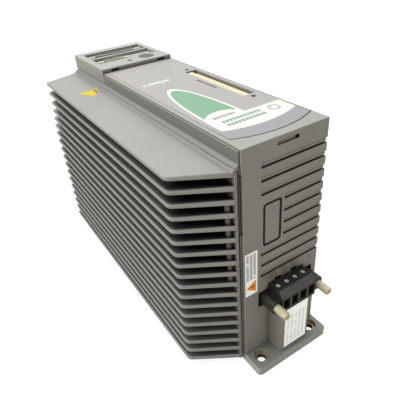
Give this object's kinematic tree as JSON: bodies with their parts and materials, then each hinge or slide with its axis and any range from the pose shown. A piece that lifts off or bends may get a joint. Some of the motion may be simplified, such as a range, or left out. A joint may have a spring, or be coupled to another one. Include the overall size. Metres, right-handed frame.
{
  "type": "servo drive",
  "caption": "Panel-mounted servo drive: a finned heatsink beside a slim grey case, with a plug-in power connector at one end and a raised control head at the other.",
  "frame": {"origin": "centre of the four mounting holes, on the mounting face", "axes": "+Z from the mounting face to the front panel, +Y from the power end to the motor end, -X towards the heatsink fins"},
  "size_m": [0.1021, 0.3009, 0.179],
  "materials": {
    "case_plastic": "fine moulded texture, warm mid grey",
    "casting_paint": "die casting, painted satin warm grey",
    "plate_paint": "cast plate, painted satin warm grey, bare metal in the mounting holes",
    "overlay_print": "printed panel: blue grey with a green field edged in white",
    "printed_label": "white printed label",
    "yellow_label": "yellow printed label",
    "dark_plastic": "dark grey moulded plastic",
    "black_plastic": "black moulded plastic",
    "grey_insert": "grey moulded connector insert",
    "cream_plastic": "cream moulded plastic",
    "black_rubber": "matt rubber",
    "smoked_lens": "smoked window",
    "nickel_steel": "warm dull nickel plating",
    "zinc_steel": "zinc plating",
    "brass": "turned brass",
    "tinned_brass": "tin plated brass",
    "circuit_board": "green solder mask",
    "grey_pad": "soft thermal pad",
    "capacitor_sleeve": "black blue shrink sleeve",
    "ferrite": "dark ferrite",
    "copper_coil": "enamelled copper winding",
    "insulating_film": "thin insulating sheet"
  },
  "bodies": {
    "drive": {"base_plate": "plate_paint", "heatsink": "casting_paint", "cover": "case_plastic", "front_overlay": "overlay_print", "control_bezel": "case_plastic", "display_lens": "smoked_lens", "status_display": "black_plastic", "reset_switch": "black_plastic", "side_port_seal": "black_rubber", "side_port_plug": "case_plastic", "caution_label": "printed_label", "rating_label": "printed_label", "fin_label": "yellow_label", "expansion_header": "cream_plastic", "module_inserts": "brass", "command_shell": "nickel_steel", "command_insert": "grey_insert", "serial_shell": "nickel_steel", "serial_insert": "grey_insert", "feedback_shell": "nickel_steel", "feedback_insert": "grey_insert", "jackscrews": "nickel_steel", "power_socket": "black_plastic", "power_pins": "tinned_brass", "socket_nuts": "brass", "motor_socket": "black_plastic", "motor_pins": "tinned_brass", "signal_header": "black_plastic", "power_board": "circuit_board", "control_board": "circuit_board", "board_link": "black_plastic", "processor": "black_plastic", "thermal_pads": "grey_pad", "power_module": "black_plastic", "bridge_rectifier": "black_plastic", "bus_capacitors": "capacitor_sleeve", "transformer_core": "ferrite", "transformer_coil": "copper_coil", "line_choke": "copper_coil", "inrush_relay": "black_plastic", "current_sensors": "black_plastic", "insulating_sheet": "insulating_film", "board_standoffs": "brass", "board_screws": "zinc_steel", "cover_screws": "zinc_steel", "heatsink_screws": "zinc_steel"},
    "reset_button": {"reset_button": "dark_plastic"},
    "power_plug": {"plug_housing": "dark_plastic", "plug_contacts": "tinned_brass"},
    "thumbscrew_left": {"thumbscrew_left": "nickel_steel"},
    "thumbscrew_right": {"thumbscrew_right": "nickel_steel"},
    "clamp_screw_1": {"clamp_screw_1": "nickel_steel"},
    "clamp_cage_1": {"clamp_cage_1": "nickel_steel"},
    "clamp_screw_2": {"clamp_screw_2": "nickel_steel"},
    "clamp_cage_2": {"clamp_cage_2": "nickel_steel"},
    "clamp_screw_3": {"clamp_screw_3": "nickel_steel"},
    "clamp_cage_3": {"clamp_cage_3": "nickel_steel"},
    "clamp_screw_4": {"clamp_screw_4": "nickel_steel"},
    "clamp_cage_4": {"clamp_cage_4": "nickel_steel"}
  },
  "joints": [
    {"name": "reset_press", "type": "slide", "parent": "drive", "child": "reset_button", "axis": [0, 0, -1], "range_m": [0, 0.0008], "stiffness_N_per_m": 400},
    {"name": "power_plug_pull", "type": "slide", "parent": "drive", "child": "power_plug", "axis": [0, -1, 0], "range_m": [0, 0.014]},
    {"name": "thumbscrew_left_turn", "type": "hinge", "parent": "power_plug", "child": "thumbscrew_left", "pos_m": [-0.0148, -0.1428, 0.0555], "axis": [0, 1, 0], "continuous": true},
    {"name": "thumbscrew_right_turn", "type": "hinge", "parent": "power_plug", "child": "thumbscrew_right", "pos_m": [0.0236, -0.1428, 0.0555], "axis": [0, 1, 0], "continuous": true},
    {"name": "clamp_screw_1_turn", "type": "hinge", "parent": "power_plug", "child": "clamp_screw_1", "pos_m": [-0.00778, -0.13584, 0.0662], "axis": [0, 0, -1], "range_deg": [0, 1080]},
    {"name": "clamp_cage_1_lift", "type": "slide", "parent": "power_plug", "child": "clamp_cage_1", "axis": [0, 0, 1], "range_m": [0, 0.0015]},
    {"name": "clamp_screw_2_turn", "type": "hinge", "parent": "power_plug", "child": "clamp_screw_2", "pos_m": [-0.00016, -0.13584, 0.0662], "axis": [0, 0, -1], "range_deg": [0, 1080]},
    {"name": "clamp_cage_2_lift", "type": "slide", "parent": "power_plug", "child": "clamp_cage_2", "axis": [0, 0, 1], "range_m": [0, 0.0015]},
    {"name": "clamp_screw_3_turn", "type": "hinge", "parent": "power_plug", "child": "clamp_screw_3", "pos_m": [0.00746, -0.13584, 0.0662], "axis": [0, 0, -1], "range_deg": [0, 1080]},
    {"name": "clamp_cage_3_lift", "type": "slide", "parent": "power_plug", "child": "clamp_cage_3", "axis": [0, 0, 1], "range_m": [0, 0.0015]},
    {"name": "clamp_screw_4_turn", "type": "hinge", "parent": "power_plug", "child": "clamp_screw_4", "pos_m": [0.01508, -0.13584, 0.0662], "axis": [0, 0, -1], "range_deg": [0, 1080]},
    {"name": "clamp_cage_4_lift", "type": "slide", "parent": "power_plug", "child": "clamp_cage_4", "axis": [0, 0, 1], "range_m": [0, 0.0015]}
  ],
  "couplings": [
    {"joint": "clamp_screw_1_turn", "follows": "clamp_cage_1_lift", "rad_per_m": 12566},
    {"joint": "clamp_screw_2_turn", "follows": "clamp_cage_2_lift", "rad_per_m": 12566},
    {"joint": "clamp_screw_3_turn", "follows": "clamp_cage_3_lift", "rad_per_m": 12566},
    {"joint": "clamp_screw_4_turn", "follows": "clamp_cage_4_lift", "rad_per_m": 12566}
  ]
}
